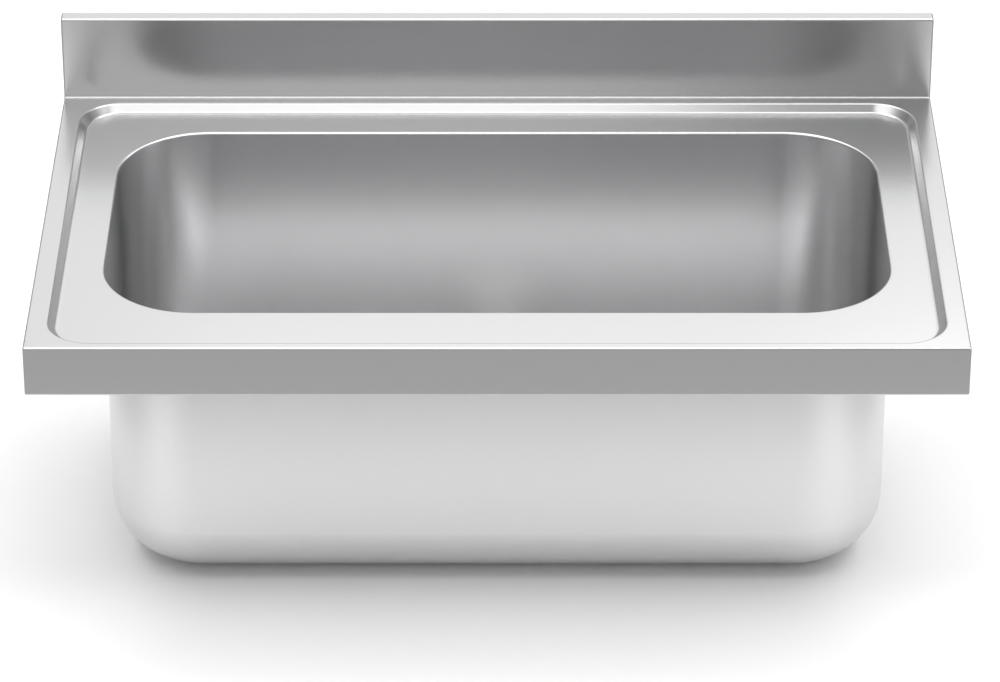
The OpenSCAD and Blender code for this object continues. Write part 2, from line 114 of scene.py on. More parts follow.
def makeObject(name, points, groups):
    # groups are (faces, one normal for each corner of each face, material index)
    faces, corners, slots = [], [], []
    for f, n, m in groups:
        if len(f):
            faces += f.tolist()
            corners.append(n.reshape(-1, 3))
            slots += [m] * len(f)
    mesh = bpy.data.meshes.new(name)
    mesh.from_pydata(points.tolist(), [], faces)
    mesh.polygons.foreach_set("use_smooth", [True] * len(faces))
    mesh.polygons.foreach_set("material_index", slots)
    mesh.normals_split_custom_set(np.concatenate(corners).tolist())
    mesh.update()
    piece = bpy.data.objects.new(name, mesh)
    bpy.context.scene.collection.objects.link(piece)
    return piece


def sheetPiece(name, patches, thickness):
    # a closed sheet: each outer point, its copy one thickness down its normal, and strips along open edges
    points, normals, quads, tilts = weldPatches(patches)
    kinds = tidyFaces(quads, tilts)
    edges = openEdges([f for f, n in kinds])
    total = len(points)
    points = np.concatenate([points, points - normals * thickness])
    strips = np.stack([edges[:, 1], edges[:, 0], edges[:, 0] + total, edges[:, 1] + total], -1)
    stripNormals = np.repeat(faceNormals(points, strips)[:, None], 4, axis=1)
    groups = []
    for f, n in kinds:
        groups.append((f, n, 0))
        groups.append((f[:, ::-1] + total, -n[:, ::-1], 1))
    groups.append((strips, stripNormals, 0))
    return makeObject(name, points, groups)


def levelWays(angles):
    # unit vectors (cos t, sin t, 0)
    return np.stack([np.cos(angles), np.sin(angles), 0 * angles], -1)


def carried(path, out, profile, normals):
    # a profile of (way out, height) and its normals, set up at each point of a path along the level
    # direction out there
    return path[None] + out[None] * profile[:, :1, None] + upward * profile[:, 1:, None], \
        out[None] * normals[:, :1, None] + upward * normals[:, 1:, None]


def turned(profile, normals, count):
    # a profile of (radius, height) turned about the vertical line through the drain's centre
    out = levelWays(np.linspace(0, 2 * np.pi, count, endpoint=False))
    profile, normals = np.asarray(profile, float), np.asarray(normals, float)
    points, tilts = carried(drainCentre[None], out, profile, normals)
    return points, tilts, gridQuads(len(profile), count, closed=True)


def arc(centre, radius, start, stop, steps):
    # points centre + radius (sin a, cos a) in (across, height), with normals (sin a, cos a), a in degrees
    a = np.radians(np.linspace(start, stop, steps + 1))
    out = np.stack([np.sin(a), np.cos(a)], -1)
    return np.asarray(centre) + radius * out, out


def joinProfile(*parts):
    # parts are (points, normals), or one point and one normal
    return np.concatenate([np.atleast_2d(p) for p, n in parts]), \
        np.concatenate([np.broadcast_to(n, np.atleast_2d(p).shape) for p, n in parts])


# The sheet's own sizes, in metres; overall sizes come from the frame
sheet = {
    "thickness": 1.2 * mm,
    "edgeRadius": 2.4 * mm,      # outside radius of every folded edge
    "flange": 25 * mm,           # return flange under the front and the sides
    "foldRadius": 2 * mm,        # between rim and upstand
    "upstandDepth": 20 * mm,
    "rimHeight": 58 * mm,
    "lip": 18 * mm,              # folded down behind the upstand
    "rimSide": 20 * mm,
    "rimFront": 10 * mm,
    "rimBack": 13 * mm,
    "recessDrop": 10 * mm,
    "recessRadius": 50 * mm,
    "stepAngle": 50.0,           # degrees from level
    "stepTopRadius": 3.5 * mm,
    "stepFootRadius": 6 * mm,
    "cornerSteps": 32,           # segments round each corner seen from above
    "bendSteps": 8,              # segments round each small fold
    "capSteps": 6,               # and round the foot of the end caps
}

mouth = {
    "side": 70 * mm,             # from each side of the worktop to the mouth
    "front": 93 * mm,
    "back": 67 * mm,             # from the upstand to the mouth
    "bend": 3 * mm,
    "weld": 12 * mm,             # width of the bowl's flange, ground flush with the deck
    "depth": 350 * mm,           # from the recessed surface to the bowl's floor
    "wallRadius": 101 * mm,      # plan radius of the bowl's walls
    "floorRadius": 69 * mm,
    "crease": 2.5,               # degrees by which the floor's curve breaks away from the wall
    "floorSteps": 40,
}

halfWidth = cadHigh.x
yFront, yWall = cadLow.y, cadHigh.y
yFold = yWall - sheet["upstandDepth"]
yBend = yFold - sheet["foldRadius"]
zRim, zTop = sheet["rimHeight"], cadHigh.z
zDeck = zRim - sheet["recessDrop"]
zFloor = zDeck - mouth["depth"]
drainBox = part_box("waste_body")
drainCentre = np.array([(drainBox[0].x + drainBox[1].x) / 2, (drainBox[0].y + drainBox[1].y) / 2, 0])


def quarterTurns(steps):
    # the angles of four quarter turns, of which each starts with the last angle of the one before
    return np.radians(np.concatenate([np.linspace(k * 90, k * 90 + 90, steps + 1) for k in range(4)]))


def ringPoints(centres, radius, height, steps):
    # a rounded rectangle, anticlockwise from the right: each corner centre plus radius (cos t, sin t)
    out = levelWays(quarterTurns(steps))
    x0, x1, y0, y1 = centres
    corner = np.repeat([[x1, y1], [x0, y1], [x0, y0], [x1, y0]], steps + 1, axis=0)
    return np.column_stack([corner + radius * out[:, :2], np.full(len(out), height)]), out


def ringSurface(rows, steps):
    # rows are (centres, radius, height, outward part of the normal, upward part of the normal)
    points, normals = [], []
    for centres, radius, height, across, up in rows:
        p, out = ringPoints(centres, radius, height, steps)
        points.append(p)
        normals.append(out * across + upward * up)
    return np.array(points), np.array(normals), gridQuads(len(rows), points[0].shape[0], closed=True)


def insetCentres(radius, inset):
    # corner centres of a rounded rectangle whose sides lie inset from the worktop's, in the order
    # left, right, front, back
    left, right, front, back = inset
    return (-halfWidth + left + radius, halfWidth - right - radius,
            yFront + front + radius, yFold - back - radius)


recessCentres = insetCentres(sheet["recessRadius"],
                             (sheet["rimSide"], sheet["rimSide"], sheet["rimFront"], sheet["rimBack"]))
mouthCentres = insetCentres(mouth["wallRadius"] + mouth["bend"],
                            (mouth["side"], mouth["side"], mouth["front"], mouth["back"]))
weldRadius = mouth["wallRadius"] + mouth["bend"] + mouth["weld"]


def stepProfile():
    # the pressed step, as (way in from the recess line, height): a bend out, a slope and a bend back
    angle = sheet["stepAngle"]
    top, foot = sheet["stepTopRadius"], sheet["stepFootRadius"]
    sine, cosine = math.sin(math.radians(angle)), math.cos(math.radians(angle))
    slope = (sheet["recessDrop"] - (top + foot) * (1 - cosine)) / sine
    run = (top + foot) * sine + slope * cosine
    upper = arc((0, zRim - top), top, 0, angle, sheet["bendSteps"])
    lower = arc((run, zDeck + foot), -foot, angle, 0, sheet["bendSteps"])
    return joinProfile(upper, lower)


def deckPatches():
    steps, bends = sheet["cornerSteps"], sheet["bendSteps"]
    edge = sheet["edgeRadius"]
    xEdge, yEdge = halfWidth - edge, yFront + edge
    # rim, step and recessed surface, in to the ground weld round the bowl
    p, n = stepProfile()
    rows = [((-xEdge, xEdge, yEdge, yBend), 0, zRim, 0, 1)]
    rows += [(recessCentres, sheet["recessRadius"] - u, z, -a, b) for (u, z), (a, b) in zip(p, n)]
    rows += [(mouthCentres, weldRadius, zDeck, 0, 1)]
    patches = [ringSurface(rows, steps)]
    # path of the skirts: down the left side, round the front corners and back up the right side
    cornerTurns = np.radians(np.linspace(180, 270, bends + 1))
    turns = np.concatenate([[np.pi], cornerTurns, cornerTurns + np.pi / 2, [2 * np.pi]])
    out = levelWays(turns)
    x = np.concatenate([np.full(bends + 2, -xEdge), np.full(bends + 2, xEdge)])
    y = np.concatenate([[yBend], np.full(2 * bends + 2, yEdge), [yBend]])
    path = np.stack([x, y, 0 * x], -1)
    # the rounded edge between rim and skirt
    p, n = arc((0, zRim - edge), edge, 0, 90, bends)
    patches.append((*carried(path, out, p, n), gridQuads(len(p), len(path), flip=True)))
    # the skirt itself, its lower bend and the return flange, which run on under the upstand
    yEnd = yFold + sheet["thickness"]
    out = out[[0, *range(len(out)), -1]]
    path = np.concatenate([[[-xEdge, yEnd, 0]], path, [[xEdge, yEnd, 0]]])
    p, n = joinProfile(((edge, zRim - edge), (1, 0)), arc((0, edge), edge, 90, 180, bends))
    points, normals = carried(path, out, p, n)
    inner = path + np.sign(-path) * np.array([1, 0, 0]) * (sheet["flange"] - edge)
    inner[2:-2, 1] = yFront + sheet["flange"]
    points = np.concatenate([points, inner[None]])
    normals = np.concatenate([normals, np.broadcast_to(-upward, inner[None].shape)])
    patches.append((points, normals, gridQuads(len(points), len(path), flip=True)))
    patches.append(upstandPatch())
    return patches


def upstandProfile():
    # fold, front, top and rear lip of the upstand in (depth, height), with its outward normals
    edge, bends = sheet["edgeRadius"], sheet["bendSteps"]
    fold = sheet["foldRadius"]
    yLip = yWall - sheet["thickness"]
    foldArc = arc((yBend, zRim + fold), -fold, 0, -90, bends)
    topFront = arc((yFold + edge, zTop - edge), edge, -90, 0, bends)
    topRear = arc((yLip - edge, zTop - edge), edge, 0, 90, bends)
    lip = ((yLip, zTop - sheet["lip"]), (1, 0))
    return joinProfile(foldArc, topFront, topRear, lip)


def upstandPatch():
    # the profile carried along X; at each end it is drawn in along its normals by the edge radius times
    # 1 - cos t
    edge, bends = sheet["edgeRadius"], sheet["bendSteps"]
    p, n = upstandProfile()
    t = np.radians(np.linspace(90, 0, bends + 1))
    t = np.concatenate([t, t[::-1]])
    side = np.repeat([-1, 1], bends + 1)
    x = side * (halfWidth - edge + edge * np.sin(t))
    inset = edge * (1 - np.cos(t))
    drawn = p[:, None] - n[:, None] * inset[None, :, None]
    points = np.concatenate([np.broadcast_to(x[None, :, None], drawn.shape[:2] + (1,)), drawn], -1)
    tilt = n[:, None] * np.cos(t)[None, :, None]
    across = np.broadcast_to((side * np.sin(t))[None, :, None], drawn.shape[:2] + (1,))
    return points, np.concatenate([across, tilt], -1), gridQuads(len(p), len(t))


def sectionRows(section):
    # rows of a ringSurface from a section in (way out from the wall's inside, height) and its normals
    return [(mouthCentres, mouth["wallRadius"] + u, z, a, b) for (u, z), (a, b) in zip(*section)]


def bowlPatches():
    bend, steps = mouth["bend"], sheet["cornerSteps"]
    # section from the weld, over the mouth's bend and down the wall
    weld = ((bend + mouth["weld"], zDeck), (0, 1))
    over = arc((bend, zDeck - bend), bend, 0, -90, sheet["bendSteps"])
    wall = ((0, zFloor + mouth["floorRadius"]), (-1, 0))
    wallRing = ringSurface(sectionRows(joinProfile(weld, over, wall)), steps)
    # the floor's curve: height = R (1 - cos a) over the floor, from a = 90 - crease degrees down to 0
    start = math.radians(90 - mouth["crease"])
    curve = mouth["floorRadius"] / (1 - math.cos(start))
    floorArc = arc((-curve * math.sin(start), zFloor + curve), -curve, mouth["crease"] - 90, 0,
                   mouth["floorSteps"])
    ring = ringSurface(sectionRows(floorArc), steps)
    # the waste's seat, and the flat floor between that ring and the seat's edge
    p, n = wasteSeat()
    out = levelWays(quarterTurns(steps))
    seat, seatTilts = carried(drainCentre[None], out, p, n)
    flat = np.array([ring[0][-1], seat[0]])
    floorPatch = (flat, np.broadcast_to(upward, flat.shape), gridQuads(2, len(out), closed=True))
    seatPatch = (seat, seatTilts, gridQuads(len(p), len(out), closed=True))
    return [wallRing, ring, floorPatch, seatPatch]


waste = {
    "seatDrop": 5 * mm,
    "seatOuter": 62 * mm,        # radius where the floor turns down into the seat
    "seatFlat": 57 * mm,         # radius of the flat seat
    "hole": 45 * mm,
    "seatBend": 2 * mm,
    "seatSteps": 4,
}


def wasteSeat():
    # two bends joined by the seat's slope, then the flat ring in to the hole
    drop, bend, steps = waste["seatDrop"], waste["seatBend"], waste["seatSteps"]
    slope = math.degrees(math.atan2(drop, waste["seatOuter"] - waste["seatFlat"]))
    reach = bend * math.tan(math.radians(slope / 2))
    upper = arc((waste["seatOuter"] + reach, zFloor - bend), bend, 0, -slope, steps)
    lower = arc((waste["seatFlat"] - reach, zFloor - drop + bend), -bend, -slope, 0, steps)
    hole = ((waste["hole"], zFloor - drop), (0, 1))
    return joinProfile(upper, lower, hole)


def platePiece(name, outline, low, high):
    # an outline in (depth, height), anticlockwise, between two places along X
    count = len(outline)
    points = np.concatenate([np.column_stack([np.full(count, x), outline]) for x in (low, high)])
    k = np.arange(count)
    sides = np.stack([k, (k + 1) % count, (k + 1) % count + count, k + count], -1)
    ends = [(k[::-1][None], (-1, 0, 0)), (k[None] + count, (1, 0, 0))]
    groups = [(sides, np.repeat(faceNormals(points, sides)[:, None], 4, axis=1), 0)]
    groups += [(f, np.broadcast_to(np.array(n, float), (1, count, 3)), 0) for f, n in ends]
    return makeObject(name, points, groups)


def makeEndCap(name, side):
    # closes the end of the upstand, inside the drawn-in edge of the deck's own sheet
    edge, t = sheet["edgeRadius"], sheet["thickness"]
    p, n = upstandProfile()
    drawn = p - n * edge
    foot = arc((yWall - edge, edge), edge - t, 90, 180, sheet["capSteps"])[0]
    corner = np.array([[yFold + t, t], [yFold + t, zRim - edge]])
    lipEnd = np.array([[yWall - t, zTop - sheet["lip"]]])
    outline = np.concatenate([corner, drawn, lipEnd, foot])
    # a point within a thousandth of a millimetre of the one before is left out
    keep = np.linalg.norm(outline - np.roll(outline, -1, axis=0), axis=1) > 0.001 * mm
    outline = outline[keep][::-1]
    low, high = (-halfWidth, -halfWidth + t) if side < 0 else (halfWidth - t, halfWidth)
    return platePiece(name, outline, low, high)


def carriedAlongX(profile, normals, low, high):
    # a (depth, height) profile between two places along X
    points = np.stack([np.column_stack([np.full(len(profile), x), profile]) for x in (low, high)], 1)
    tilt = np.broadcast_to(np.column_stack([np.zeros(len(profile)), normals])[:, None], points.shape)
    return points, tilt, gridQuads(len(profile), 2)


def makeRearPanel():
    # up the back and round its foot into the rear flange
    edge = sheet["edgeRadius"]
    low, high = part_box("rear_panel")
    foot = arc((yWall - edge, edge), edge, 90, 180, sheet["bendSteps"])
    top = ((yWall, high.z), (1, 0))
    flange = ((low.y, low.z), (0, -1))
    p, n = joinProfile(top, foot, flange)
    return sheetPiece("rear_panel_sheet", [carriedAlongX(p, n, -halfWidth, halfWidth)], sheet["thickness"])


# Materials

def nodeMaterial(name):
    material = bpy.data.materials.new(name)
    material.use_nodes = True
    nodes, links = material.node_tree.nodes, material.node_tree.links
    return material, nodes, links, nodes["Principled BSDF"]


def noiseNode(nodes, links, size):
    # an even noise on object coordinates, with the size of its grains in millimetres
    spot = nodes.new("ShaderNodeTexCoord")
    noise = nodes.new("ShaderNodeTexNoise")
    noise.inputs["Scale"].default_value = 1 / (size * mm)
    links.new(spot.outputs["Object"], noise.inputs["Vector"])
    return noise.outputs["Fac"]


def addGrain(nodes, links, shader, height, depth):
    # tilts the surface as if it rose by the depth times a tenth of a millimetre over the grains
    bump = nodes.new("ShaderNodeBump")
    bump.inputs["Strength"].default_value = depth
    bump.inputs["Distance"].default_value = 0.1 * mm
    links.new(height, bump.inputs["Height"])
    links.new(bump.outputs["Normal"], shader.inputs["Normal"])


def steelMaterial(name, colour, roughness, grainSize=0.9, grainDepth=0.03, roughSpread=0.03):
    # metal with a fine even grain, which moves the roughness and tilts the surface a little
    material, nodes, links, shader = nodeMaterial(name)
    shader.inputs["Base Color"].default_value = (*colour, 1)
    shader.inputs["Metallic"].default_value = 1
    grain = noiseNode(nodes, links, grainSize)
    spread = nodes.new("ShaderNodeMapRange")
    spread.inputs["To Min"].default_value = roughness - roughSpread
    spread.inputs["To Max"].default_value = roughness + roughSpread
    links.new(grain, spread.inputs["Value"])
    links.new(spread.outputs["Result"], shader.inputs["Roughness"])
    addGrain(nodes, links, shader, grain, grainDepth)
    return material


def plainMaterial(name, colour, roughness, spread=0.06, patchSize=14, grainDepth=0.2, grainSize=0.8):
    # rubber, plastic or coated sheet: slow patches vary the colour and a fine grain roughens the surface
    material, nodes, links, shader = nodeMaterial(name)
    tint = nodes.new("ShaderNodeMix")
    tint.data_type = "RGBA"
    tint.inputs["A"].default_value = (*[c * (1 - spread) for c in colour], 1)
    tint.inputs["B"].default_value = (*[min(1, c * (1 + spread)) for c in colour], 1)
    links.new(noiseNode(nodes, links, patchSize), tint.inputs["Factor"])
    links.new(tint.outputs["Result"], shader.inputs["Base Color"])
    shader.inputs["Roughness"].default_value = roughness
    addGrain(nodes, links, shader, noiseNode(nodes, links, grainSize), grainDepth)
    return material


# colour and roughness of each finish
finish = {
    "satin": ((0.66, 0.66, 0.665), 0.25),
    "pickled": ((0.72, 0.72, 0.72), 0.32),
    "mill": ((0.56, 0.56, 0.565), 0.40),
    "bright": ((0.75, 0.75, 0.75), 0.14),
    "zinc": ((0.62, 0.62, 0.58), 0.35),
    "rubber": ((0.03, 0.03, 0.032), 0.6),
    "plastic": ((0.82, 0.82, 0.79), 0.4),
    "coating": ((0.16, 0.17, 0.18), 0.85),
}
satinSteel = steelMaterial("satin_steel", *finish["satin"])
pickledSteel = steelMaterial("pickled_steel", *finish["pickled"], grainDepth=0.15, roughSpread=0.1)
millSteel = steelMaterial("mill_steel", *finish["mill"], grainSize=1.4, grainDepth=0.1, roughSpread=0.06)
brightSteel = steelMaterial("bright_steel", *finish["bright"], grainDepth=0.01)
zincPlate = steelMaterial("zinc_plate", *finish["zinc"], grainDepth=0.1)
blackRubber = plainMaterial("black_rubber", *finish["rubber"])
whitePlastic = plainMaterial("white_plastic", *finish["plastic"], spread=0.02, grainDepth=0.05)
greyPad = plainMaterial("grey_pad", *finish["coating"], grainDepth=0.8, grainSize=2)
slotMaterials = {
    "steel_sheet": satinSteel, "steel_dull": millSteel, "zinc_plate": zincPlate, "sound_pad": greyPad,
    "rubber_black": blackRubber, "steel_bright": brightSteel, "plastic_white": whitePlastic,
}
print("materials made")


def dress(piece, *materials):
    # clearing also resets the faces' material indices, so it is left out where there is nothing to clear
    if piece.data.materials:
        piece.data.materials.clear()
    for m in materials:
        piece.data.materials.append(m)
    return piece


def place(piece, body, slot, *nodes):
    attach(piece, body)
    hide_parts(*nodes)


deck = dress(sheetPiece("deck_sheet", deckPatches(), sheet["thickness"]), satinSteel, satinSteel)
place(deck, "sink_top", "steel_sheet", "deck")
bowl = dress(sheetPiece("bowl_sheet", bowlPatches(), sheet["thickness"]), satinSteel, pickledSteel)
place(bowl, "sink_top", "steel_sheet", "bowl")
rearPanel = dress(makeRearPanel(), satinSteel, satinSteel)
place(rearPanel, "sink_top", "steel_sheet", "rear_panel")
for capName, capSide in (("left", -1), ("right", 1)):
    cap = dress(makeEndCap("end_cap_sheet_" + capName, capSide), satinSteel)
    place(cap, "sink_top", "steel_sheet", "end_cap_" + capName)
print("sheet pieces made")


# Waste, basket and sound pads

def filleted(outline, radii, steps=4):
    # each corner of a closed anticlockwise outline becomes an arc tangent to both sides, with radius r and
    # reach r tan(turn / 2) along each; normals point outwards, and radius 0 keeps a sharp corner
    p = np.asarray(outline, float)
    r = np.broadcast_to(radii, len(p)).astype(float)
    before, after = p - np.roll(p, 1, axis=0), np.roll(p, -1, axis=0) - p
    before /= np.linalg.norm(before, axis=1, keepdims=True)
    after /= np.linalg.norm(after, axis=1, keepdims=True)
    turn = np.arctan2(before[:, 0] * after[:, 1] - before[:, 1] * after[:, 0], (before * after).sum(1))
    first = np.stack([before[:, 1], -before[:, 0]], -1)
    side = np.where(turn < 0, -1.0, 1.0)
    middle = p - before * (r * np.tan(np.abs(turn) / 2))[:, None] - first * (side * r)[:, None]
    angle = np.arctan2(first[:, 1], first[:, 0])[:, None] + turn[:, None] * np.linspace(0, 1, steps + 1)
    normals = np.stack([np.cos(angle), np.sin(angle)], -1)
    return (middle[:, None] + normals * (side * r)[:, None, None]).reshape(-1, 2), normals.reshape(-1, 2)


def closedPiece(name, patches):
    # patches that together make closed shells
    points, normals, quads, tilts = weldPatches(patches)
    return makeObject(name, points, [(f, n, 0) for f, n in tidyFaces(quads, tilts)])


def turnedShell(outline, radii, steps=4, closed=True, count=96):
    # a turned (radius, height) outline with rounded corners, with or without its last side
    p, n = filleted(outline, radii, steps)
    if closed:
        p, n = np.concatenate([p, p[:1]]), np.concatenate([n, n[:1]])
    return turned(p, n, count)


def threadShell(radius, depth, pitch, low, high, count=96, turnSteps=10):
    # the radius less depth times (1 - cos(2 pi (height / pitch - turns))) / 2, which fades out over one
    # pitch at each end
    rows = int((high - low) / pitch * turnSteps) + 1
    z, t = np.meshgrid(np.linspace(low, high, rows), np.linspace(0, 2 * np.pi, count, endpoint=False),
                       indexing="ij")
    fade = np.clip(np.minimum(z - low, high - z) / pitch, 0, 1)
    phase = 2 * np.pi * (z - low) / pitch - t
    r = radius - depth * fade * (0.5 - 0.5 * np.cos(phase))
    out = levelWays(t)
    points = drainCentre + r[..., None] * out + z[..., None] * upward
    # the surface's normal is out, less dr/dz upwards and less dr/dt / r along the turn
    slope = -depth * fade * 0.5 * np.sin(phase) * 2 * np.pi / pitch
    along = depth * fade * 0.5 * np.sin(phase) / r
    normals = out - slope[..., None] * upward - along[..., None] * levelWays(t + np.pi / 2)
    normals /= np.linalg.norm(normals, axis=-1, keepdims=True)
    return points, normals, gridQuads(rows, count, closed=True)


def barShell(outline, radius, start, stop, way, steps=3):
    # a closed (across, height) outline carried from start to stop along the level direction way
    p, n = filleted(outline, radius, steps)
    p, n = np.concatenate([p, p[:1]]), np.concatenate([n, n[:1]])
    way = np.array([*way, 0.0])
    across = np.array([-way[1], way[0], 0])
    sideways = drainCentre + p[:, :1] * across + p[:, 1:] * upward
    points = np.stack([sideways + way * start, sideways + way * stop])
    normals = np.broadcast_to(n[:, :1] * across + n[:, 1:] * upward, points.shape)
    sides = (points, normals, gridQuads(2, len(p)))
    ends = []
    for row, sign in ((0, -1), (1, 1)):
        middle = np.broadcast_to(points[row].mean(0), points[row].shape)
        rim = np.stack([points[row], middle])
        ends.append((rim, np.broadcast_to(way * sign, rim.shape), gridQuads(2, len(p), flip=sign < 0)))
    return [sides] + ends


def cellEdge(low, high, wide, tall):
    # the outline of a (u, v) cell, anticlockwise from its low corner, with wide and tall points to a side
    s, t = np.arange(wide) / wide, np.arange(tall) / tall
    (u0, v0), (u1, v1) = low, high
    return np.concatenate([np.column_stack([u0 + (u1 - u0) * s, np.full(wide, v0)]),
                           np.column_stack([np.full(tall, u1), v0 + (v1 - v0) * t]),
                           np.column_stack([u1 - (u1 - u0) * s, np.full(wide, v1)]),
                           np.column_stack([np.full(tall, u0), v1 - (v1 - v0) * t])])


def slotHole(half, low, high, wide, tall):
    # two half circles joined by straight sides, with its points in the order of cellEdge
    s, t = np.arange(wide) / wide, np.arange(tall) / tall
    turnLow, turnHigh = np.pi * (1 + s), np.pi * s
    rise = np.array([low + half + (high - low - 2 * half) * t, high - half - (high - low - 2 * half) * t])
    return np.concatenate([np.column_stack([half * np.cos(turnLow), low + half + half * np.sin(turnLow)]),
                           np.column_stack([np.full(tall, half), rise[0]]),
                           np.column_stack([half * np.cos(turnHigh), high - half + half * np.sin(turnHigh)]),
                           np.column_stack([np.full(tall, -half), rise[1]])])


def roundHole(radius, wide, tall):
    # a circle whose four quarters face the four sides of the cell
    s, t = np.arange(wide) / wide, np.arange(tall) / tall
    angle = np.pi * np.concatenate([-0.75 + s / 2, -0.25 + t / 2, 0.25 + s / 2, 0.75 + t / 2])
    return radius * np.stack([np.cos(angle), np.sin(angle)], -1)


def holedRing(cells, hole, edge, locate, flip=False):
    # each cell: faces from the hole's outline, given in lengths, out to the cell's edge, given in turns
    patches = []
    pitch = 2 * np.pi / cells
    for k in range(cells):
        inner, normalIn = locate(k * pitch, hole[:, 0], hole[:, 1], True)
        outer, normalOut = locate(k * pitch, edge[:, 0], edge[:, 1], False)
        points, normals = np.array([inner, outer]), np.array([normalIn, normalOut])
        patches.append((points, normals, gridQuads(2, len(hole), closed=True, flip=flip)))
    return patches


dish = {
    "flange": 56 * mm,
    "top": 40 * mm,              # radius of the well at its top
    "foot": 35 * mm,
    "drop": 32 * mm,
    "sheet": 1 * mm,
    "gasket": 1.5 * mm,
    "edge": 1.1 * mm,            # a little more than the sheet, so that its inside stays rounded too
    "topRadius": 2.5 * mm,
    "footRadius": 4 * mm,
    "bendSteps": 6,
    "holes": 8,
    "holeRadius": 4 * mm,
    "holePitch": 15 * mm,
    "holeReach": 6 * mm,         # from the holes' circle to the edges of their ring
    "holeSteps": (12, 4),        # points along and across, on each side of a hole
    "screwHole": 3.3 * mm,
}
zSeat = zFloor - waste["seatDrop"]
zDish = zSeat + dish["gasket"] + dish["sheet"]
zWell = zDish - dish["drop"]


def makeDish():
    wide, tall = dish["holeSteps"]
    inner, outer = dish["holePitch"] - dish["holeReach"], dish["holePitch"] + dish["holeReach"]
    edge, steps = dish["edge"], dish["bendSteps"]
    # the outline of a thick ring, of which only the upper face is kept: its last three corners and the
    # point before them
    zBase, outside = zWell - dish["drop"], 2 * dish["flange"]
    outline = [(outer, zWell), (outer, zBase), (outside, zBase), (outside, zDish - edge),
               (dish["flange"], zDish - edge), (dish["flange"], zDish), (dish["top"], zDish),
               (dish["foot"], zWell)]
    p, n = filleted(outline, [0, 0, 0, 0, 0, edge, dish["topRadius"], dish["footRadius"]], steps)
    keep = slice(-3 * (steps + 1) - 1, None)
    count = dish["holes"] * wide
    wall = turned(*joinProfile((p[keep], n[keep]), ((outer, zWell), (0, 1))), count)

    def locate(turn, u, v, isHole):
        # offsets from the hole's centre in lengths, or turns and radii
        across, along, lean = (u, v + dish["holePitch"], 0 * u) if isHole else (0 * u, v, u)
        out, sideways = levelWays(turn + lean), levelWays(turn + lean + np.pi / 2)
        points = drainCentre + upward * zWell + along[:, None] * out + across[:, None] * sideways
        return points, np.broadcast_to(upward, points.shape)

    half = np.pi / dish["holes"]
    cells = holedRing(dish["holes"], roundHole(dish["holeRadius"], wide, tall),
                      cellEdge((-half, inner), (half, outer), wide, tall), locate)
    middle = turned([(inner, zWell), (dish["screwHole"], zWell)], [(0, 1), (0, 1)], count)
    return sheetPiece("strainer_dish_sheet", [wall, middle] + cells, dish["sheet"])


basket = {
    "foot": 30 * mm,
    "top": 37 * mm,
    "sheet": 0.8 * mm,
    "curl": 1.4 * mm,            # outside radius of the rolled rim
    "curlTurn": 230.0,           # degrees that the rim is rolled through
    "curlSteps": 12,
    "footRadius": 3 * mm,
    "bendSteps": 6,
    "slots": 24,
    "slotHalf": 1.5 * mm,
    "slotLow": 6.5 * mm,
    "slotHigh": 5.5 * mm,        # below the rim
    "slotReach": 1.2 * mm,       # from the slots' ends to the edges of their ring
    "slotSteps": (6, 2),         # points along and across, on each side of a slot
}


def makeBasket():
    wide, tall = basket["slotSteps"]
    low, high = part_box("basket")
    curl, thin, steps = basket["curl"], basket["sheet"], basket["bendSteps"]
    lean = math.atan2(basket["top"] - basket["foot"], high.z - low.z)
    # the rolled rim turns outwards from the wall about a centre one curl below the top
    centre = np.array([basket["top"], high.z - curl])
    t = np.pi - lean - np.linspace(0, 1, basket["curlSteps"] + 1) * math.radians(basket["curlTurn"])
    way = np.stack([np.cos(t), np.sin(t)], -1)
    rim = (centre + (curl - thin) * way, -way)
    start = rim[0][0]
    outline = [(0, low.z), (basket["foot"], low.z), tuple(start), (0, start[1])]
    p, n = filleted(outline, [0, basket["footRadius"], 0, 0], steps)
    # of that outline, the floor and the bend at its foot are kept
    foot = (p[steps:2 * steps + 2], n[steps:2 * steps + 2])
    bend, wallNormal = foot[0][-1], foot[1][-1]
    z0, z1 = low.z + basket["slotLow"], high.z - basket["slotHigh"]
    edgeLow, edgeHigh = z0 - basket["slotReach"], z1 + basket["slotReach"]

    def radiusAt(z):
        return bend[0] + (start[0] - bend[0]) * (z - bend[1]) / (start[1] - bend[1])

    def locate(turn, u, v, isHole):
        # lengths along and up the wall, or turns and heights
        r = radiusAt(v)
        out = levelWays(turn + (u / r if isHole else u))
        points = drainCentre + out * r[:, None] + v[:, None] * upward
        return points, out * wallNormal[0] + upward * wallNormal[1]

    lower = joinProfile(foot, ((radiusAt(edgeLow), edgeLow), wallNormal))
    upper = joinProfile(((radiusAt(edgeHigh), edgeHigh), wallNormal), rim)
    half = np.pi / basket["slots"]
    cells = holedRing(basket["slots"], slotHole(basket["slotHalf"], z0, z1, wide, tall),
                      cellEdge((-half, edgeLow), (half, edgeHigh), wide, tall), locate, flip=True)
    count = basket["slots"] * wide
    patches = [turned(*lower, count), turned(*upper, count)] + cells
    return sheetPiece("basket_sheet", patches, thin)


stem = {
    "radius": 3 * mm,
    "foot": 6 * mm,              # radius of its foot
    "footHigh": 1.5 * mm,        # and its height
    "footEdge": 0.5 * mm,
    "neck": 0.8 * mm,
    "count": 48,                 # segments round it
}


def makeStem():
    low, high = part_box("basket_stem")
    r, foot, zNeck = stem["radius"], stem["foot"], low.z + stem["footHigh"]
    outline = [(0, low.z), (foot, low.z), (foot, zNeck), (r, zNeck), (r, high.z), (0, high.z)]
    radii = [0, 0, stem["footEdge"], stem["neck"], 0, 0]
    return closedPiece("basket_stem_turned", [turnedShell(outline, radii, count=stem["count"])])


